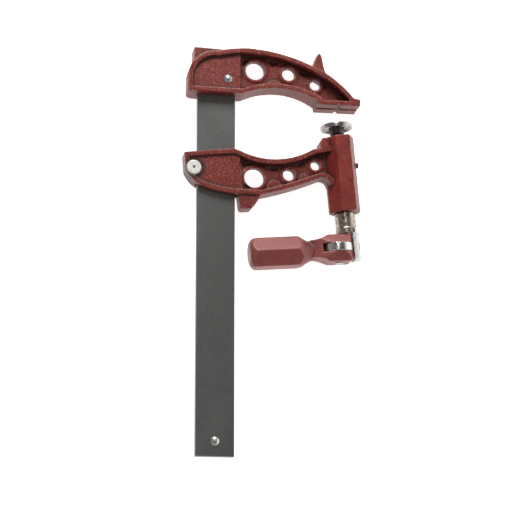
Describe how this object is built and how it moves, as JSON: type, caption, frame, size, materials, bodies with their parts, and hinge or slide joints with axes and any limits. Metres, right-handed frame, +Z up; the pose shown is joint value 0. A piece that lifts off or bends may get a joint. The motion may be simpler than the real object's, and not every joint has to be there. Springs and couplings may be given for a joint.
{
  "type": "f clamp",
  "caption": "F clamp with a flat steel rail, cast I-section fixed and sliding jaws, a screw spindle with a swivel pad, and a folding six-sided handle.",
  "frame": {"origin": "on the ground, below the middle of the clamp's outline, with the clamp lying on its side", "axes": "+X from the rail towards the jaw tips, +Y along the rail towards the fixed jaw, +Z up, across the jaws' thickness"},
  "size_m": [0.1901, 0.4352, 0.036],
  "materials": {
    "jaw_enamel": "textured enamel on cast iron",
    "handle_enamel": "satin enamel",
    "rail_steel": "dark drawn steel, satin",
    "zinc_plate": "bright zinc plate",
    "rivet_steel": "plain steel, peened",
    "blued_steel": "black oxide",
    "nylon": "natural nylon"
  },
  "bodies": {
    "rail_body": {"rail": "rail_steel", "rail_stop_rivet": "rivet_steel", "fixed_jaw": "jaw_enamel", "fixed_jaw_rivet": "rivet_steel"},
    "roller_body": {"jaw_roller": "zinc_plate"},
    "jaw_body": {"sliding_jaw": "jaw_enamel", "brake_screw": "blued_steel", "brake_plug": "nylon"},
    "feed_body": {"pad_retaining_ring": "blued_steel"},
    "spindle_body": {"spindle": "zinc_plate", "handle_pin": "rivet_steel"},
    "pad_body": {"swivel_pad": "zinc_plate"},
    "handle_body": {"handle": "handle_enamel"}
  },
  "joints": [
    {"name": "jaw_slide", "type": "slide", "parent": "rail_body", "child": "roller_body", "axis": [0, 1, 0], "range_m": [-0.252, 0]},
    {"name": "jaw_tilt", "type": "hinge", "parent": "roller_body", "child": "jaw_body", "pos_m": [-0.0848, 0.0841, 0.018], "axis": [0, 0, 1], "range_deg": [-4.8, 0]},
    {"name": "spindle_feed", "type": "slide", "parent": "jaw_body", "child": "feed_body", "axis": [-0.0872, 0.9962, 0], "range_m": [-0.003, 0.0135]},
    {"name": "spindle_turn", "type": "hinge", "parent": "feed_body", "child": "spindle_body", "pos_m": [0.07315, 0.09621, 0.018], "axis": [-0.0872, 0.9962, 0], "range_deg": [-220, 975]},
    {"name": "pad_tilt", "type": "hinge", "parent": "feed_body", "child": "pad_body", "pos_m": [0.06976, 0.13486, 0.018], "axis": [0, 0, 1], "range_deg": [-6, 6]},
    {"name": "handle_swing", "type": "hinge", "parent": "spindle_body", "child": "handle_body", "pos_m": [0.07012, 0.0046, 0.018], "axis": [-0.0872, 0.9962, 0], "range_deg": [-95, 95]}
  ],
  "couplings": [
    {"joint": "spindle_turn", "follows": "spindle_feed", "rad_per_m": 1256.6}
  ]
}
